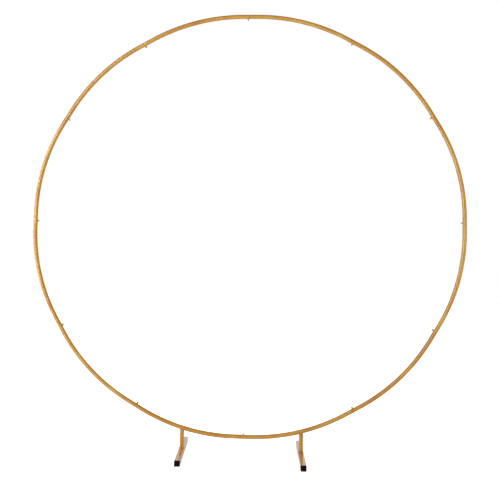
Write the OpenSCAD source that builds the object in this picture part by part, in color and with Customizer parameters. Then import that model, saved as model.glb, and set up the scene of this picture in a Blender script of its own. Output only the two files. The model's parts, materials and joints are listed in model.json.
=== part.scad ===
// Floor-standing round flower hoop: a ring of plug-in steel tubes, joined by thumb
// screws, on two T-shaped feet. Lengths are in millimetres. The origin is on the
// floor, midway between the feet; +X runs across the hoop, -Y is the front, +Z is up.

/* [Hoop] */
// Outside diameter, measured across the middles of two opposite tubes
hoop_d = 2000; // [1700:10:2200]
// Number of plug-in tubes in the ring
tube_count = 12; // [8:4:12]
// Share by which the hoop's weight tightens its side bends and opens its top and foot
hoop_sag = 0.028; // [0:0.002:0.04]
// Gap between the floor and the lowest tube
floor_gap = 74; // [60:1:120]

/* [Tube] */
// Outside diameter of the round tube
tube_d = 19; // [18:0.5:22]
// Wall of every tube
tube_wall = 1; // [0.8:0.1:1.2]
// Straight run at each end of a ring tube
straight_run = 35; // [30:1:45]
// Length of the swaged end that plugs into the next tube
plug_in = 32; // [24:1:34]
// Radial gap between a swaged end and the tube that it plugs into
plug_gap = 0.1; // [0.05:0.05:0.2]

/* [Thumb screws] */
// Distance of a joint's screw from the lip of its tube
screw_setback = 10; // [8:1:14]
// Thread diameter
screw_d = 5; // [4:0.5:5]
// Thread below the head
screw_len = 8.8; // [8.4:0.1:9]
// Width of the flat finger grip
grip_w = 11; // [9:0.5:14]
// Height of the flat finger grip
grip_h = 6; // [5:0.5:10]
// Thickness of the flat finger grip
grip_t = 2; // [1.5:0.1:2.5]

/* [Feet] */
// Distance between the two legs
leg_span = 540; // [300:10:700]
// Whole length of a foot, end plugs included
foot_len = 400; // [300:10:600]
// Side of the square foot tube
foot_side = 25; // [22:1:30]
// Depth of a leg that slides over its stub
stub_depth = 40; // [30:1:45]
// Least gap between the top of a leg and the ring
leg_gap = 3; // [2:0.5:6]
// Swivel of the left foot, anticlockwise from above
left_toe = 4.2; // [-15:0.1:15]
// Swivel of the right foot, anticlockwise from above
right_toe = 1.5; // [-15:0.1:15]

/* [Hidden] */
$fn = 96;
tube_r = tube_d / 2;
bore_r = tube_r - tube_wall;
swage_r = bore_r - plug_gap;
seam_bevel = 1.2;
seam_gap = 0.4;
// The straight ends are this much fuller than the bend, inside and out, and
// reach this far into it
end_swell = 0.02;
end_lap = 0.5;
end_outer_r = tube_r + end_swell;
end_bore_r = bore_r - end_swell;
step = 360 / tube_count;
bottom_angle = -90;

// All tubes are equally long, and each turns the ring by a share of the circle that
// follows the sag: more beside the widest points, less at the top and the bottom.
// Opposite shares cancel in each quarter, so the ring closes.
mid_r = hoop_d / 2 - tube_r;
mean_arc_r = mid_r - straight_run / sin(step / 2);
function sag_shape(k) = cos(2 * (bottom_angle + (k + 0.5) * step));
function tube_turn(k) = step * (1 + hoop_sag * sag_shape(k));
function arc_r(k) = mean_arc_r * step / tube_turn(k);
function joint_angle(k) = k == 0 ? bottom_angle : joint_angle(k - 1) + tube_turn(k - 1);
function outward(a) = [cos(a), sin(a)];
function onward(a) = [-sin(a), cos(a)];
function tube_span(k) =
    arc_r(k) * (outward(joint_angle(k + 1)) - outward(joint_angle(k)))
    + straight_run * (onward(joint_angle(k)) + onward(joint_angle(k + 1)));
function joint_at(k) = k == 0 ? [0, floor_gap + tube_r] : joint_at(k - 1) + tube_span(k - 1);

// Screw dimensions, measured from the underside of the head
head_gap = 0.3;
thread_r = screw_d / 2;
thread_fit = 0.05;
hole_r = thread_r + 0.15;
collar_r = thread_r + 1.4;
collar_h = 3.4;
thread_in_head = 2.4;
grip_round = 3;
nut_across = 8;
nut_t = 4;
nut_corner_r = nut_across / 2 / cos(30);
nut_top = sqrt(pow(swage_r - tube_wall, 2) - pow(nut_corner_r, 2)) - 0.05;
odd_turn = 62;

// Feet
leg_x = leg_span / 2;
function ring_slope(x) = asin((x - straight_run) / arc_r(0));
function ring_z(x) = joint_at(0)[1] + arc_r(0) * (1 - cos(ring_slope(x)));
function ring_underside(x) = ring_z(x) - tube_r / cos(ring_slope(x));
leg_top = ring_underside(leg_x - tube_r) - leg_gap;
stub_bottom = leg_top - stub_depth;
foot_wall = 1.2;
foot_corner_r = 2;
plug_face = 4;
plug_insert = 14;
plug_fit = 0.1;
plug_wall = 1.6;
plug_bevel = 1;
lock_z = leg_top - 14;
boss_r = 5;
boss_h = 4.5;
lock_tip = swage_r + head_gap;
lock_head = lock_tip + screw_len;

gold = "goldenrod";
zinc = "khaki";
steel = "silver";
black = "black";

SIDES = ["left", "right"];
ENDS = ["front", "back"];
JOINTS = [for (k = [0:tube_count - 1]) k];
function number(k) = str(k < 9 ? "0" : "", k + 1);
function side_sign(side) = side == "left" ? -1 : 1;
function end_sign(end) = end == "front" ? -1 : 1;
function toe(side) = side == "left" ? left_toe : right_toe;

// A round wall of the tube, standing on the XY plane
module pipe(h, outer = tube_r, inner = bore_r) {
    rotate_extrude()
        translate([inner, 0])
            square([outer - inner, h]);
}

// Stands its children in the joint's own frame: +X outward, +Y round the ring
// anticlockwise as seen from the front, +Z to the front
module at_joint(k) {
    p = joint_at(k);
    translate([p[0], 0, p[1]])
        rotate([90, 0, 0])
            rotate([0, 0, joint_angle(k)])
                children();
}

// The axis of a joint's screw: +Z runs from the middle of the tube to the middle of the ring
module on_screw(k) {
    at_joint(k)
        translate([0, screw_setback, 0])
            rotate([0, -90, 0])
                children();
}

// The bent middle of a ring tube, as a solid bar or as a pipe
module bend(k, inner = 0) {
    at_joint(k)
        translate([-arc_r(k), straight_run, 0])
            rotate_extrude(angle = tube_turn(k), $fn = 240)
                translate([arc_r(k), 0])
                    difference() {
                        circle(r = tube_r, $fn = 96);
                        if (inner > 0)
                            circle(r = inner, $fn = 96);
                    }
}

// The plain end, a socket that starts at its joint
module socket_end(k) {
    at_joint(k)
        translate([0, seam_gap / 2, 0])
            rotate([-90, 0, 0])
                pipe(straight_run - seam_gap / 2 + end_lap, end_outer_r, end_bore_r);
}

// The swaged end: the straight run, a short bevel at the seam and the thinner plug
module swaged_end(k) {
    shoulder = straight_run - seam_gap / 2 - seam_bevel;
    tip = straight_run + plug_in;
    lead = 1;
    at_joint(k)
        translate([0, -straight_run, 0])
            rotate([-90, 0, 0])
                rotate_extrude()
                    polygon([
                        [end_bore_r, -end_lap],
                        [end_outer_r, -end_lap],
                        [end_outer_r, shoulder],
                        [swage_r, shoulder + seam_bevel],
                        [swage_r, tip - lead],
                        [swage_r - lead / 2, tip],
                        [swage_r - tube_wall, tip],
                        [swage_r - tube_wall, shoulder + seam_bevel],
                        [end_bore_r, shoulder - seam_bevel]
                    ]);
}

module ring_tube(k) {
    color(gold)
        difference() {
            union() {
                bend(k, bore_r);
                socket_end(k);
                swaged_end(k + 1);
            }
            on_screw(k)
                cylinder(r = hole_r, h = tube_d);
            on_screw(k + 1)
                cylinder(r = hole_r, h = tube_d);
        }
}

// Hexagonal nuts brazed inside the swaged ends
module joint_nuts() {
    color(steel)
        for (k = JOINTS)
            on_screw(k)
                translate([0, 0, nut_top - nut_t])
                    difference() {
                        cylinder(r = nut_corner_r, h = nut_t, $fn = 6);
                        translate([0, 0, -1])
                            cylinder(r = thread_r + thread_fit, h = nut_t + 2);
                    }
}

// The thread of a thumb screw, from its tip up into the head, which starts at z = 0
module screw_thread() {
    tip_bevel = 0.6;
    color(steel)
        rotate_extrude()
            polygon([
                [0, -screw_len],
                [thread_r - tip_bevel, -screw_len],
                [thread_r, tip_bevel - screw_len],
                [thread_r, thread_in_head],
                [0, thread_in_head]
            ]);
}

// Outline of the finger grip: a neck that widens to two round ears
module grip_outline() {
    ear_x = grip_w / 2 - grip_round;
    ear_z = grip_h - grip_round;
    for (s = [-1, 1])
        translate([s * ear_x, ear_z])
            circle(r = grip_round);
    polygon([
        [-collar_r, 0],
        [collar_r, 0],
        [grip_w / 2, ear_z],
        [ear_x, grip_h - 0.5],
        [-ear_x, grip_h - 0.5],
        [-grip_w / 2, ear_z]
    ]);
}

// The head of a thumb screw: a round collar with a flat grip across its top
module screw_head(turn) {
    head_floor = collar_h - 0.6;
    color(zinc)
        rotate([0, 0, turn])
            difference() {
                union() {
                    cylinder(r = collar_r, h = collar_h);
                    translate([0, grip_t / 2, head_floor])
                        rotate([90, 0, 0])
                            linear_extrude(grip_t)
                                grip_outline();
                }
                translate([0, 0, -1])
                    cylinder(r = thread_r + thread_fit, h = thread_in_head + 1.2);
            }
}

module ring_screw_thread(k) {
    on_screw(k)
        translate([0, 0, tube_r + head_gap])
            screw_thread();
}

module ring_screw_head(k) {
    on_screw(k)
        translate([0, 0, tube_r + head_gap])
            screw_head(k * odd_turn);
}

// The axis of a leg, turned by the swivel of its foot
module at_leg(side) {
    translate([side_sign(side) * leg_x, 0, 0])
        rotate([0, 0, toe(side)])
            children();
}

// The short tube welded under the ring, which the leg slides over
module leg_stub(side) {
    k = side == "left" ? tube_count - 1 : 0;
    top = ring_z(leg_x);
    color(gold)
        difference() {
            translate([side_sign(side) * leg_x, 0, stub_bottom])
                pipe(top - stub_bottom, swage_r, swage_r - tube_wall);
            bend(k);
        }
}

module leg(side) {
    color(gold)
        at_leg(side)
            difference() {
                translate([0, 0, foot_side])
                    pipe(leg_top - foot_side);
                translate([0, 0, lock_z])
                    rotate([-90, 0, 0])
                        cylinder(r = hole_r, h = tube_d);
            }
}

// A square with rounded corners, centred
module rounded_square(side, r) {
    square([side, side - 2 * r], center = true);
    square([side - 2 * r, side], center = true);
    for (x = [-1, 1])
        for (y = [-1, 1])
            translate([x * (side / 2 - r), y * (side / 2 - r)])
                circle(r = r);
}

module foot_bar(side) {
    bar_len = foot_len - 2 * plug_face;
    color(gold)
        at_leg(side)
            translate([0, bar_len / 2, foot_side / 2])
                rotate([90, 0, 0])
                    linear_extrude(bar_len)
                        difference() {
                            rounded_square(foot_side, foot_corner_r);
                            rounded_square(foot_side - 2 * foot_wall, foot_corner_r - foot_wall);
                        }
}

// A plug with a flat face as wide as the foot tube, and a hollow ribbed insert
module end_plug(side, end) {
    insert_side = foot_side - 2 * foot_wall - 2 * plug_fit;
    insert_r = foot_corner_r - foot_wall;
    s = end_sign(end);
    color(black)
        at_leg(side)
            translate([0, s * (foot_len / 2 - plug_face), foot_side / 2])
                rotate([-90 * s, 0, 0]) {
                    linear_extrude(plug_face - plug_bevel)
                        rounded_square(foot_side, foot_corner_r);
                    translate([0, 0, plug_face - plug_bevel])
                        linear_extrude(plug_bevel)
                            rounded_square(foot_side - plug_bevel, foot_corner_r);
                    translate([0, 0, -plug_insert])
                        linear_extrude(plug_insert)
                            difference() {
                                rounded_square(insert_side, insert_r);
                                square(insert_side - 2 * plug_wall, center = true);
                            }
                }
}

// The threaded boss welded to the back of the leg
module lock_boss(side) {
    color(gold)
        at_leg(side)
            translate([0, 0, lock_z])
                difference() {
                    rotate([-90, 0, 0])
                        cylinder(r = boss_r, h = tube_r + boss_h);
                    translate([0, 0, -2 * boss_r])
                        cylinder(r = tube_r, h = 4 * boss_r);
                    rotate([-90, 0, 0])
                        cylinder(r = thread_r + thread_fit, h = tube_d);
                }
}

module at_lock(side) {
    at_leg(side)
        translate([0, lock_head, lock_z])
            rotate([-90, 0, 0])
                children();
}

module lock_thread(side) {
    at_lock(side)
        screw_thread();
}

module lock_screw_head(side) {
    at_lock(side)
        screw_head(side_sign(side) * odd_turn / 2);
}

for (k = JOINTS)
    ring_tube(k);
joint_nuts();
for (k = JOINTS)
    ring_screw_thread(k);
for (k = JOINTS)
    ring_screw_head(k);
for (side = SIDES) {
    leg_stub(side);
    leg(side);
    foot_bar(side);
    lock_boss(side);
    lock_thread(side);
    lock_screw_head(side);
    for (end = ENDS)
        end_plug(side, end);
}
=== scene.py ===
"""Looks for a floor-standing round flower hoop: gold painted ring tubes, legs and feet.

Everything is in metres. The floor is z = 0, +X runs across the hoop, -Y is the front.
"""

import json
import math

import bmesh
import bpy
import numpy as np
from mathutils import Matrix, Vector
from mathutils.bvhtree import BVHTree


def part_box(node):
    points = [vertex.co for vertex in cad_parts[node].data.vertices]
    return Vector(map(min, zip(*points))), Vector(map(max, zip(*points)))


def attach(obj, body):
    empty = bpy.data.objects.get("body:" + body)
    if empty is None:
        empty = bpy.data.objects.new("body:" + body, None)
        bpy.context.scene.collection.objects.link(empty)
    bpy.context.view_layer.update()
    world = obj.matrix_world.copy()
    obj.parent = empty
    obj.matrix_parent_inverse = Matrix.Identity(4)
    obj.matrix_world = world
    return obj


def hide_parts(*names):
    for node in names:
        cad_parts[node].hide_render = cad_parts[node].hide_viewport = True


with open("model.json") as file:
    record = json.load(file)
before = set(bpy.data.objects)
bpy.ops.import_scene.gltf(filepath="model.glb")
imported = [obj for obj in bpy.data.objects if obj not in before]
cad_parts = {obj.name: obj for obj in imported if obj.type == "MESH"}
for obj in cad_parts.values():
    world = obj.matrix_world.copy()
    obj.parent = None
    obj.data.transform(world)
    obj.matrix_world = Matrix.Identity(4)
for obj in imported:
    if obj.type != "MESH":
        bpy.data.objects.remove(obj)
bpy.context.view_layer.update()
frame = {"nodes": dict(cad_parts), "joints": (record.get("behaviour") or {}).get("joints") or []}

MM = 0.001
JOINT_COUNT = 12

# Tube and screw sizes, the same as the frame's
TUBE_R = 9.5 * MM
STUB_R = 8.4 * MM
SCREW_SETBACK = 10 * MM
HEAD_BASE = 9.8 * MM
THREAD_R = 2.5 * MM
THREAD_PITCH = 0.8 * MM
THREAD_DEPTH = 0.45 * MM
THREAD_BELOW_HEAD = 8.8 * MM
THREAD_IN_HEAD = 2.4 * MM


# ---------------------------------------------------------------- camera and light

def make_camera():
    """The camera looks a little up and to the left from in front of the right leg."""
    place = Vector((0.1675, -2.6715, 0.7576))
    yaw, pitch, roll = (math.radians(a) for a in (-3.122, 3.697, 1.253))
    sensor, lens = 36.0, 41.82
    ahead = Vector((
        math.sin(yaw) * math.cos(pitch),
        math.cos(yaw) * math.cos(pitch),
        math.sin(pitch),
    ))
    level = Vector((math.cos(yaw), -math.sin(yaw), 0))
    upright = level.cross(ahead)
    right = level * math.cos(roll) + upright * math.sin(roll)
    up = upright * math.cos(roll) - level * math.sin(roll)
    data = bpy.data.cameras.new("camera")
    data.sensor_width = sensor
    data.lens = lens
    data.clip_start, data.clip_end = 0.05, 200
    camera = bpy.data.objects.new("camera", data)
    turn = Matrix((right, up, -ahead)).transposed()
    camera.matrix_world = Matrix.Translation(place) @ turn.to_4x4()
    bpy.context.scene.collection.objects.link(camera)
    bpy.context.scene.camera = camera


class Shader:
    """A short way to write a node tree."""

    def __init__(self, tree):
        self.tree = tree
        tree.nodes.clear()

    def add(self, kind, inputs=None, **settings):
        node = self.tree.nodes.new(kind)
        for name, value in settings.items():
            setattr(node, name, value)
        for key, value in (inputs or {}).items():
            self.set(node.inputs[key], value)
        return node

    def set(self, socket, value):
        if isinstance(value, bpy.types.NodeSocket):
            self.tree.links.new(value, socket)
        else:
            socket.default_value = value

    def math(self, operation, a, b=0.0, clamp=False):
        node = self.add("ShaderNodeMath", operation=operation, use_clamp=clamp)
        self.set(node.inputs[0], a)
        self.set(node.inputs[1], b)
        return node.outputs[0]

    def mix(self, factor, a, b):
        node = self.add("ShaderNodeMix", data_type="RGBA")
        self.set(node.inputs[0], factor)
        self.set(node.inputs[6], a)
        self.set(node.inputs[7], b)
        return node.outputs[2]

    def ramp(self, value, low, high):
        """0 below low, 1 above high."""
        node = self.add("ShaderNodeMapRange", clamp=True, interpolation_type="SMOOTHSTEP")
        self.set(node.inputs["Value"], value)
        node.inputs["From Min"].default_value = low
        node.inputs["From Max"].default_value = high
        return node.outputs["Result"]

    def noise(self, place, scale, detail=2.0, roughness=0.5):
        node = self.add("ShaderNodeTexNoise", {
            "Vector": place, "Scale": scale, "Detail": detail, "Roughness": roughness,
        })
        return node.outputs["Fac"]


def make_soft_box(name, place, target, width, height, power):
    """A lit panel that the camera doesn't see."""
    data = bpy.data.lights.new(name, "AREA")
    data.shape = "RECTANGLE"
    data.size, data.size_y = width, height
    data.energy = power
    panel = bpy.data.objects.new(name, data)
    panel.location = place
    panel.rotation_mode = "QUATERNION"
    panel.rotation_quaternion = (Vector(place) - Vector(target)).to_track_quat("Z", "Y")
    panel.visible_camera = False
    bpy.context.scene.collection.objects.link(panel)


def make_lights():
    """A main light from the front left, and weaker ones at both sides and behind."""
    make_soft_box(
        "front_box", place=(-1.2, -2.7, 1.6), target=(0.1, 0, 1.1),
        width=1.5, height=1.5, power=40)
    make_soft_box(
        "right_box", place=(2.5, -1.7, 1.3), target=(0.9, 0, 1.1),
        width=0.8, height=1.8, power=13)
    make_soft_box(
        "left_box", place=(-2.1, -0.3, 1.1), target=(-0.9, 0, 1.1),
        width=0.4, height=2.4, power=22)
    make_soft_box(
        "back_box", place=(1.0, 2.6, 2.0), target=(0, 0, 1.0),
        width=1.4, height=1.4, power=12)


def make_world():
    """A pale studio: bright straight behind and in front, dim at the sides and above."""
    side_level, front_gain, back_gain, top_gain = 0.18, 0.12, 0.9, 0.10
    world = bpy.data.worlds.new("studio")
    bpy.context.scene.world = world
    world.use_nodes = True
    s = Shader(world.node_tree)
    way = s.add("ShaderNodeTexCoord").outputs["Generated"]
    parts = s.add("ShaderNodeSeparateXYZ", {0: way})
    behind = s.ramp(parts.outputs["Y"], 0.80, 0.96)
    front = s.ramp(s.math("MULTIPLY", parts.outputs["Y"], -1.0), 0.1, 0.9)
    top = s.ramp(parts.outputs["Z"], 0.3, 0.9)
    level = s.math("ADD", s.math("MULTIPLY", behind, back_gain), side_level)
    level = s.math("ADD", s.math("MULTIPLY", front, front_gain), level)
    level = s.math("ADD", s.math("MULTIPLY", top, top_gain), level)
    seen = s.add("ShaderNodeLightPath").outputs["Is Camera Ray"]
    strength = s.math("ADD", s.math("MULTIPLY", seen, s.math("SUBTRACT", 1.0, level)), level)
    back = s.add("ShaderNodeBackground", {"Color": (1, 1, 1, 1), "Strength": strength})
    out = s.add("ShaderNodeOutputWorld")
    s.tree.links.new(back.outputs[0], out.inputs["Surface"])


def make_floor():
    """A plain pale floor, just under the feet."""
    size, drop = 60.0, 0.2 * MM
    mesh = bpy.data.meshes.new("floor")
    corners = [(x * size, y * size, -drop) for x, y in ((-1, -1), (1, -1), (1, 1), (-1, 1))]
    mesh.from_pydata(corners, [], [(0, 1, 2, 3)])
    floor = bpy.data.objects.new("floor", mesh)
    bpy.context.scene.collection.objects.link(floor)
    material = bpy.data.materials.new("pale_floor")
    material.use_nodes = True
    s = Shader(material.node_tree)
    place = s.add("ShaderNodeTexCoord").outputs["Object"]
    tone = s.mix(s.noise(place, 3.0, 3.0), (0.90, 0.90, 0.895, 1), (0.93, 0.93, 0.925, 1))
    seen = s.add("ShaderNodeLightPath").outputs["Is Camera Ray"]
    shader = s.add("ShaderNodeBsdfPrincipled", {
        "Base Color": tone,
        "Roughness": 0.7,
        "Specular IOR Level": 0.2,
        "Emission Color": (1, 1, 1, 1),
        "Emission Strength": s.math("ADD", s.math("MULTIPLY", seen, 0.7), 0.22),
    })
    finish_material(s, shader)
    mesh.materials.append(material)


# ---------------------------------------------------------------- materials

def finish_material(s, shader):
    out = s.add("ShaderNodeOutputMaterial")
    s.tree.links.new(shader.outputs[0], out.inputs["Surface"])


def new_shader(name):
    material = bpy.data.materials.new(name)
    material.use_nodes = True
    return material, Shader(material.node_tree)


def near_points(s, place, points, reach):
    """1 at any of the points, falling to 0 at the distance reach."""
    total = None
    for point in points:
        away = s.add("ShaderNodeVectorMath", {0: place, 1: tuple(point)}, operation="DISTANCE")
        near = s.math("SUBTRACT", 1.0, s.math("DIVIDE", away.outputs["Value"], reach), clamp=True)
        total = near if total is None else s.math("MAXIMUM", total, near)
    return total


def gold_paint(name, tone=0.0, worn_at=(), lumpy=0.0):
    """Satin gold paint under a thin clear coat. It is rubbed where parts plug together.

    A tone below 0 is redder, and above 0 yellower. lumpy roughens it, for a weld.
    """
    material, s = new_shader(name)
    place = s.add("ShaderNodeTexCoord").outputs["Object"]
    flake = s.noise(place, 5200.0, 1.0)
    clouds = s.noise(place, 9.0, 4.0, 0.55)
    mottle = s.noise(place, 160.0, 3.0, 0.6)
    deep = (0.48 + 0.01 * tone, 0.202 + 0.022 * tone, 0.017 + 0.005 * tone, 1)
    pale = (0.62 + 0.01 * tone, 0.325 + 0.030 * tone, 0.045 + 0.010 * tone, 1)
    spread = s.math("ADD", s.math("MULTIPLY", clouds, 0.75), s.math("MULTIPLY", mottle, 0.25))
    paint = s.mix(s.ramp(spread, 0.30, 0.70), deep, pale)
    # Pale flecks: real metal flakes in the paint, coloured brighter than the paint as a painted
    # glint.
    glint = s.ramp(flake, 0.60, 0.74)
    flake_painted_glint, dark_speck, rubbed_steel = (
        (0.84, 0.55, 0.20, 1), (0.20, 0.105, 0.035, 1), (0.40, 0.33, 0.24, 1))
    paint = s.mix(s.math("MULTIPLY", glint, 0.3), paint, flake_painted_glint)
    speck = s.ramp(s.noise(place, 420.0, 2.0, 0.7), 0.70, 0.76)
    paint = s.mix(s.math("MULTIPLY", speck, 0.5), paint, dark_speck)
    rough = s.math("ADD", 0.36, s.math("MULTIPLY", mottle, 0.12))
    if worn_at:
        wear_reach = 16 * MM
        near = near_points(s, place, worn_at, wear_reach)
        rubbed = s.math("MULTIPLY", s.ramp(near, 0.35, 0.9), s.ramp(mottle, 0.50, 0.62))
        paint = s.mix(s.math("MULTIPLY", rubbed, 0.75), paint, rubbed_steel)
        rough = s.math("ADD", rough, s.math("MULTIPLY", rubbed, 0.15))
    peel = s.noise(place, 750.0, 2.0, 0.5)
    height = s.math("ADD", s.math("MULTIPLY", peel, 0.6), s.math("MULTIPLY", flake, 0.12))
    if lumpy:
        height = s.math("ADD", height, s.math("MULTIPLY", s.noise(place, 520.0, 3.0), lumpy))
    bump = s.add("ShaderNodeBump", {"Height": height, "Strength": 0.16, "Distance": 0.05 * MM})
    shader = s.add("ShaderNodeBsdfPrincipled", {
        "Base Color": paint,
        "Metallic": 0.25,
        "Specular IOR Level": 0.15,
        "Roughness": rough,
        "Normal": bump.outputs[0],
        "Coat Weight": 1.0,
        "Coat Roughness": 0.05,
        "Coat IOR": 1.5,
    })
    finish_material(s, shader)
    return material


def yellow_zinc(name):
    """Cast zinc with a thin yellow passivate that drifts from straw to rose."""
    material, s = new_shader(name)
    place = s.add("ShaderNodeTexCoord").outputs["Object"]
    drift = s.noise(place, 260.0, 2.0)
    grain = s.noise(place, 2600.0, 3.0, 0.6)
    colour = s.mix(s.ramp(drift, 0.38, 0.62), (0.56, 0.29, 0.10, 1), (0.66, 0.44, 0.19, 1))
    rubbed = s.ramp(grain, 0.58, 0.70)
    colour = s.mix(s.math("MULTIPLY", rubbed, 0.3), colour, (0.70, 0.58, 0.42, 1))
    rough = s.math("ADD", 0.30, s.math("MULTIPLY", grain, 0.22))
    bump = s.add("ShaderNodeBump", {"Height": grain, "Strength": 0.3, "Distance": 0.03 * MM})
    shader = s.add("ShaderNodeBsdfPrincipled", {
        "Base Color": colour, "Metallic": 0.85, "Roughness": rough, "Normal": bump.outputs[0],
    })
    finish_material(s, shader)
    return material


def bright_steel(name):
    """Zinc plated steel thread, with oil and dust in random patches."""
    material, s = new_shader(name)
    place = s.add("ShaderNodeTexCoord").outputs["Object"]
    grime = s.noise(place, 900.0, 3.0, 0.6)
    spangle = s.noise(place, 3800.0, 1.0)
    colour = s.mix(s.ramp(grime, 0.42, 0.68), (0.60, 0.58, 0.54, 1), (0.30, 0.26, 0.21, 1))
    rough = s.math("ADD", 0.24, s.math("MULTIPLY", grime, 0.3))
    bump = s.add("ShaderNodeBump", {"Height": spangle, "Strength": 0.2, "Distance": 0.02 * MM})
    shader = s.add("ShaderNodeBsdfPrincipled", {
        "Base Color": colour, "Metallic": 1.0, "Roughness": rough, "Normal": bump.outputs[0],
    })
    finish_material(s, shader)
    return material


def black_plastic(name):
    """Moulded black polythene with a fine spark-eroded grain, dusty and scuffed low down."""
    material, s = new_shader(name)
    place = s.add("ShaderNodeTexCoord").outputs["Object"]
    grain = s.noise(place, 3000.0, 2.0, 0.6)
    scuff = s.noise(place, 240.0, 4.0, 0.7)
    height = s.add("ShaderNodeSeparateXYZ", {0: place}).outputs["Z"]
    low = s.math("SUBTRACT", 1.0, s.ramp(height, 0.5 * MM, 7 * MM))
    dusty = s.math("MULTIPLY", low, s.ramp(scuff, 0.42, 0.66))
    black, worn_black = (0.0045, 0.0034, 0.0038, 1), (0.0100, 0.0075, 0.0085, 1)
    colour = s.mix(s.ramp(scuff, 0.35, 0.7), black, worn_black)
    colour = s.mix(s.math("MULTIPLY", dusty, 0.25), colour, (0.08, 0.066, 0.055, 1))
    rough = s.math("ADD", 0.42, s.math("MULTIPLY", scuff, 0.22))
    bump = s.add("ShaderNodeBump", {"Height": grain, "Strength": 0.25, "Distance": 0.04 * MM})
    shader = s.add("ShaderNodeBsdfPrincipled", {
        "Base Color": colour,
        "Roughness": rough,
        "Normal": bump.outputs[0],
        "Specular IOR Level": 0.05,
    })
    finish_material(s, shader)
    return material


def dress(obj, material):
    """Gives every slot of an object one material."""
    if not obj.material_slots:
        obj.data.materials.append(material)
    for slot in obj.material_slots:
        slot.material = material


# ---------------------------------------------------------------- reading the frame

def points_of(node):
    """A CAD node's vertices as an array, in the row frame."""
    mesh = frame["nodes"][node].data
    found = np.empty(len(mesh.vertices) * 3)
    mesh.vertices.foreach_get("co", found)
    return found.reshape(-1, 3)


def main_direction(points, across=None):
    """The direction that the points spread along most, square to across if it is given."""
    spread = points - points.mean(axis=0)
    if across is not None:
        axis = np.array(across)
        spread = spread - np.outer(spread @ axis, axis)
    values, vectors = np.linalg.eigh(spread.T @ spread)
    return Vector(vectors[:, int(values.argmax())])


def joint_named(name):
    return next(j for j in frame["joints"] if j["name"] == name)


def box_middle(node):
    low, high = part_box(node)
    return (low + high) / 2


def basis(x, y, z, origin):
    """The matrix that carries a piece from its own axes to the row frame."""
    return Matrix.Translation(origin) @ Matrix((x, y, z)).transposed().to_4x4()


def screw_basis(joint, head_node):
    """A thumb screw's own axes: Z out of the tube through the head, X along its grip."""
    turn = joint_named(joint)
    z = Vector(turn["axis"]).normalized()
    x = main_direction(points_of(head_node), across=z).normalized()
    return basis(x, z.cross(x), z, Vector(turn["pos_m"]))


def ring_seam_point(number):
    """The middle of the seam beside a ring screw, on the tubes' own axis."""
    turn = joint_named(f"screw_{number:02d}_turn")
    inward = Vector(turn["axis"])
    along = Vector((0, 1, 0)).cross(inward)
    return Vector(turn["pos_m"]) - along * SCREW_SETBACK - inward * HEAD_BASE


# ---------------------------------------------------------------- building pieces

def make_object(name, mesh, body, material, matrix=None):
    """Links a finished mesh, and makes it ride on its CAD body."""
    obj = bpy.data.objects.new(name, mesh)
    bpy.context.scene.collection.objects.link(obj)
    if matrix is not None:
        mesh.transform(matrix)
    for polygon in mesh.polygons:
        polygon.use_smooth = True
    dress(obj, material)
    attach(obj, body)
    return obj


def grid_mesh(name, rows, close_rows=False, cap=False):
    """Skins rows of points that each close on themselves."""
    built = bmesh.new()
    verts = [[built.verts.new(p) for p in row] for row in rows]
    count = len(verts)
    for i in range(count if close_rows else count - 1):
        a, b = verts[i], verts[(i + 1) % count]
        for j in range(len(a)):
            k = (j + 1) % len(a)
            built.faces.new((a[j], a[k], b[k], b[j]))
    if cap:
        built.faces.new(list(reversed(verts[0])))
        built.faces.new(verts[-1])
    bmesh.ops.recalc_face_normals(built, faces=built.faces)
    mesh = bpy.data.meshes.new(name)
    built.to_mesh(mesh)
    built.free()
    return mesh


def weld_bead(name, path, outward, size, ripples):
    """A bead that follows a closed path, with the scalloped ripples of a hand weld.

    path(a) gives the middle of the bead and outward(a) the way that it faces, for a full
    turn of a. The ripples lean, because each one freezes on the back of the last.
    """
    per_ripple, sides = 8, 12
    sections = per_ripple * ripples
    step = 2 * math.pi / sections
    rows = []
    for i in range(sections):
        a = step * i
        here, face = path(a), outward(a).normalized()
        onward = (path(a + step) - path(a - step)).normalized()
        side = onward.cross(face).normalized()
        row = []
        for j in range(sides):
            b = 2 * math.pi * j / sides
            crown = max(math.cos(b), 0.0)
            ripple = abs(math.sin(math.pi * (i / per_ripple - 0.3 * crown))) ** 0.6
            swell = 1 + 0.05 * math.sin(3 * a + 1.3)
            reach = size * swell * (0.88 + 0.16 * ripple * crown)
            row.append(here + (face * math.cos(b) + side * (1.15 * math.sin(b))) * reach)
        rows.append(row)
    return grid_mesh(name, rows, close_rows=True)


def thread_mesh(name):
    """A rolled M5 thread along Z, bevelled at its tip, with a runout under the head."""
    per_pitch, sides, bevel, runout = 10, 24, 0.7 * MM, 1.2 * MM
    low, high = -THREAD_BELOW_HEAD, THREAD_IN_HEAD
    count = round((high - low) / THREAD_PITCH * per_pitch)
    rows = []
    for i in range(count + 1):
        z = low + (high - low) * i / count
        tip = max(0.0, 1 - (z - low) / bevel) * 0.8 * MM
        full = 1 - max(0.0, min(1.0, (z + runout) / runout))
        row = []
        for j in range(sides):
            a = 2 * math.pi * j / sides
            groove = abs(2 * ((z / THREAD_PITCH - j / sides) % 1) - 1)
            cut = min(max(groove * 1.35 - 0.18, 0.0), 1.0) * THREAD_DEPTH * full
            r = min(THREAD_R - cut, THREAD_R - tip)
            row.append((r * math.cos(a), r * math.sin(a), z))
        rows.append(row)
    return grid_mesh(name, rows, cap=True)


def oval(half_x, half_y, squareness, count=32):
    """Points round a superellipse: squareness 2 is an ellipse, more is nearer a box."""
    found = []
    for i in range(count):
        c, s = math.cos(2 * math.pi * i / count), math.sin(2 * math.pi * i / count)
        x = math.copysign(abs(c) ** (2 / squareness), c) * half_x
        y = math.copysign(abs(s) ** (2 / squareness), s) * half_y
        found.append((x, y))
    return found


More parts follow.
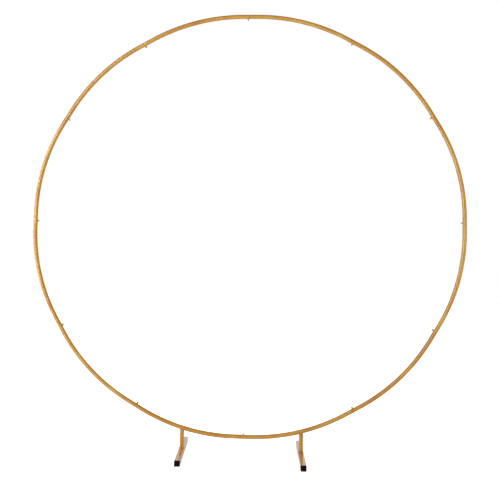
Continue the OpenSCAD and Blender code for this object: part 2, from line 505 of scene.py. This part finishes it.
def screw_head_mesh(name):
    """A cast thumb screw head along Z: a round collar that flows into a flat dished grip."""
    flash = 0.1
    # Height, half width, half thickness and squareness of each section, in mm
    sections = (
        (0.0, 2.7, 2.7, 2.0), (0.0, 3.55, 3.55, 2.0), (0.12, 3.8, 3.8, 2.0),
        (0.45, 3.9, 3.9, 2.0), (2.1, 3.82, 3.82, 2.0), (2.6, 3.85, 3.6, 2.1),
        (3.1, 4.15, 2.8, 2.3), (3.7, 4.7, 1.8, 2.7), (4.3, 5.15, 1.25, 3.2),
        (5.0, 5.42, 0.95, 3.6), (5.9, 5.5, 0.85, 3.8), (6.9, 5.35, 0.92, 3.8),
        (7.8, 4.7, 1.0, 3.4), (8.4, 3.8, 0.95, 3.0), (8.7, 2.7, 0.75, 2.6),
        (8.8, 1.5, 0.4, 2.2),
    )
    rows = []
    for z, half_w, half_t, squareness in sections:
        row = [(x * MM, y * MM, z * MM) for x, y in oval(half_w, half_t, squareness)]
        for j in (0, len(row) // 2):
            x, y, height = row[j]
            row[j] = (x + math.copysign(flash * MM, x), y, height)
        rows.append(row)
    return grid_mesh(name, rows, cap=True)


def rounded_square(half, corner, steps=6):
    """Points round a square with rounded corners. A corner as large as half is a circle."""
    found = []
    flat = half - corner
    for turn, (sx, sy) in enumerate(((1, 1), (-1, 1), (-1, -1), (1, -1))):
        for i in range(steps + 1):
            a = math.pi / 2 * (turn + i / steps)
            found.append((sx * flat + corner * math.cos(a), sy * flat + corner * math.sin(a)))
    return found


def end_plug_mesh(name):
    """A moulded plug along Z: ribbed insert below 0, domed flange above, gate mark on top."""
    half, corner, shank = 12.5, 2.0, 10.7
    # Height, half side and corner radius of each section, in mm
    sections = [(-14.0, 9.4, 1.2), (-13.4, shank, 1.2)]
    for rib in (-11.5, -8.0, -4.5):
        sections += [(rib - 0.5, shank, 1.2), (rib, 11.2, 1.3), (rib + 0.9, shank, 1.2)]
    sections += [(0.0, shank, 1.2), (0.0, half - 0.25, corner), (0.25, half, corner)]
    for i in range(6):
        a = math.pi / 2 * i / 5
        inset = 1.2 * (1 - math.cos(a))
        sections.append((2.4 + 1.2 * math.sin(a), half - inset, corner - inset * 0.6))
    sections += [(3.75, 9.5, 2.4), (3.88, 6.0, 3.4), (3.95, 3.2, 3.0), (3.97, 2.6, 2.6)]
    sections += [(3.95, 2.4, 2.4), (3.72, 2.2, 2.2), (3.70, 1.0, 1.0), (3.9, 0.8, 0.8)]
    rows = []
    for z, size, rounding in sections:
        rows.append([(x * MM, y * MM, z * MM) for x, y in rounded_square(size, rounding)])
    return grid_mesh(name, rows, cap=True)


# ---------------------------------------------------------------- the pieces in place

def soften(obj):
    """One subdivision, which rounds a cast piece's edges."""
    modifier = obj.modifiers.new("soften", "SUBSURF")
    modifier.levels = modifier.render_levels = 1


def add_screw(joint, nodes, bodies, names, steel, zinc):
    """A thumb screw: its thread rides one body and its head the next."""
    place = screw_basis(joint, nodes[1])
    thread = make_object(
        names[0], thread_mesh(names[0]), bodies[0], steel, place)
    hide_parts(nodes[0])
    head = make_object(
        names[1], screw_head_mesh(names[1]), bodies[1], zinc, place)
    soften(head)
    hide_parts(nodes[1])


def add_end_plug(side, end, plastic):
    """A black end plug that fits the foot bar's end, along the bar's own direction."""
    bar = f"foot_bar_{side}"
    node = f"end_plug_{side}_{end}"
    middle = box_middle(bar)
    along = main_direction(points_of(bar))
    if along.dot(box_middle(node) - middle) < 0:
        along = -along
    reach = max(float(t) for t in (points_of(bar) - np.array(middle)) @ np.array(along))
    up = Vector((0, 0, 1))
    place = basis(up.cross(along), up, along, middle + along * reach)
    name = f"moulded_plug_{side}_{end}"
    plug = make_object(
        name, end_plug_mesh(name), f"foot_{side}", plastic, place)
    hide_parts(node)


def round_tube(middle, radius, height):
    """The path round an upright tube, and the slanted way that a fillet bead faces."""
    def path(a):
        return Vector((
            middle.x + radius * math.cos(a), middle.y + radius * math.sin(a), height))

    def outward(a):
        return Vector((math.cos(a), math.sin(a), 1.0))
    return path, outward


def add_foot_bead(side, paint):
    """The fillet weld that holds a leg to its foot bar."""
    leg, top = box_middle(f"leg_{side}"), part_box(f"foot_bar_{side}")[1].z
    path, outward = round_tube(leg, TUBE_R + 0.35 * MM, top + 0.35 * MM)
    name = f"foot_weld_{side}"
    mesh = weld_bead(name, path, outward, size=2.2 * MM, ripples=38)
    make_object(name, mesh, f"foot_{side}", paint)


def add_ring_bead(side, ring_node, paint):
    """The saddle weld that holds a leg stub to the underside of its ring tube."""
    stub = box_middle(f"leg_stub_{side}")
    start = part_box(f"leg_{side}")[1].z
    mesh = frame["nodes"][ring_node].data
    surface = BVHTree.FromPolygons(
        [v.co.copy() for v in mesh.vertices], [tuple(p.vertices) for p in mesh.polygons])

    def path(a):
        x = stub.x + (STUB_R + 0.3 * MM) * math.cos(a)
        y = stub.y + (STUB_R + 0.3 * MM) * math.sin(a)
        hit = surface.ray_cast(Vector((x, y, start)), Vector((0, 0, 1)))[0]
        return hit - Vector((0, 0, 0.2 * MM))

    def outward(a):
        return Vector((math.cos(a), math.sin(a), -0.8))
    name = f"ring_weld_{side}"
    bead = weld_bead(name, path, outward, size=1.7 * MM, ripples=36)
    make_object(name, bead, "hoop", paint)


def add_boss_bead(side, paint):
    """The small weld round the boss that the leg's lock screw goes through."""
    boss_r = 5 * MM
    lock = joint_named(f"lock_{side}_turn")
    out = Vector(lock["axis"]).normalized()
    leg = box_middle(f"leg_{side}")
    axis_point = Vector((leg.x, leg.y, lock["pos_m"][2]))
    up = Vector((0, 0, 1))
    across = up.cross(out)

    def path(a):
        u = (boss_r + 0.1 * MM) * math.cos(a)
        w = (boss_r + 0.1 * MM) * math.sin(a)
        return axis_point + across * u + up * w + out * math.sqrt(TUBE_R ** 2 - u ** 2)

    def outward(a):
        return across * math.cos(a) + up * math.sin(a) + out * 1.2
    name = f"boss_weld_{side}"
    mesh = weld_bead(name, path, outward, size=1.1 * MM, ripples=20)
    make_object(name, mesh, f"foot_{side}", paint)


def dress_ring():
    """Each ring tube was painted apart, so each has a tone of its own and its own wear."""
    for number in range(1, JOINT_COUNT + 1):
        start = ring_seam_point(number)
        end = ring_seam_point(number % JOINT_COUNT + 1)
        tone = math.sin(2.4 * number)
        paint = gold_paint(f"gold_paint_tube_{number:02d}", tone, (start, end))
        dress(frame["nodes"][f"ring_tube_{number:02d}"], paint)


def add_hoop_screws(steel, zinc):
    for number in range(1, JOINT_COUNT + 1):
        tag = f"{number:02d}"
        add_screw(
            f"screw_{tag}_turn",
            (f"screw_thread_{tag}", f"screw_head_{tag}"),
            (f"thread_{tag}", f"head_{tag}"),
            (f"rolled_thread_{tag}", f"cast_head_{tag}"),
            steel, zinc)
    dress(frame["nodes"]["joint_nuts"], steel)


def add_foot(side, ring_node, steel, zinc, plastic):
    """Everything below the ring on one side."""
    leg_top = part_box(f"leg_{side}")[1].z
    leg = box_middle(f"leg_{side}")
    lip = Vector((leg.x, leg.y, leg_top))
    # The legs, feet and their welds take a redder, darker tone of the gold paint: painted shade
    # for the dimmer light low down.
    paint = gold_paint(f"gold_paint_foot_shaded_{side}", tone=-1.5, worn_at=(lip,))
    seam = gold_paint(f"gold_paint_weld_shaded_{side}", tone=-1.4, lumpy=0.5)
    for node in ("leg_stub", "leg", "foot_bar", "lock_boss"):
        dress(frame["nodes"][f"{node}_{side}"], paint)
    add_foot_bead(side, seam)
    add_ring_bead(side, ring_node, seam)
    add_boss_bead(side, seam)
    add_screw(
        f"lock_{side}_turn",
        (f"lock_thread_{side}", f"lock_head_{side}"),
        (f"lock_thread_{side}", f"lock_head_{side}"),
        (f"rolled_lock_thread_{side}", f"cast_lock_head_{side}"),
        steel, zinc)
    for end in ("front", "back"):
        add_end_plug(side, end, plastic)


make_camera()
make_world()
make_lights()
make_floor()
bpy.context.scene.view_settings.view_transform = "Standard"

steel_finish = bright_steel("bright_steel_thread")
zinc_finish = yellow_zinc("yellow_zinc_head")
plastic_finish = black_plastic("black_plastic_plug")
dress_ring()
add_hoop_screws(steel_finish, zinc_finish)
add_foot("left", f"ring_tube_{JOINT_COUNT:02d}", steel_finish, zinc_finish, plastic_finish)
add_foot("right", "ring_tube_01", steel_finish, zinc_finish, plastic_finish)
